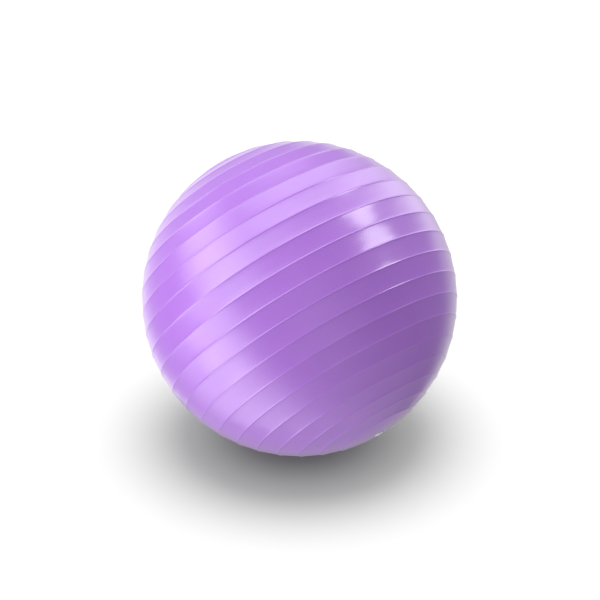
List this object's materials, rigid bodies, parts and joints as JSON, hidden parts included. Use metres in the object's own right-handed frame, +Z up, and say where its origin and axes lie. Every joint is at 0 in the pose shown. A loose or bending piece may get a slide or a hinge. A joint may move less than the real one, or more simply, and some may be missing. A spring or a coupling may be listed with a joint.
{
  "type": "ribbed inflatable exercise ball",
  "caption": "Large ribbed inflatable exercise ball for sitting, stretching and rolling, with a push-in plug that seals its air valve.",
  "frame": {"origin": "centre of the ball, as it rests on a floor", "axes": "+Z up; the ball's polar axis, through the valve, lies in the XZ plane and leaves towards +X, 41.25 degrees below level; Y is across it"},
  "size_m": [0.6486, 0.65, 0.6486],
  "materials": {
    "skin": "satin lilac soft vinyl",
    "seat": "satin lilac soft vinyl, same as the skin",
    "plug": "smooth white moulded plastic"
  },
  "bodies": {
    "ball": {"ball_skin": "skin", "valve_seat": "seat"},
    "plug": {"valve_plug": "plug"}
  },
  "joints": [
    {"name": "plug_pull", "type": "slide", "parent": "ball", "child": "plug", "axis": [0.7518, 0, -0.6593], "range_m": [0, 0.03]}
  ]
}
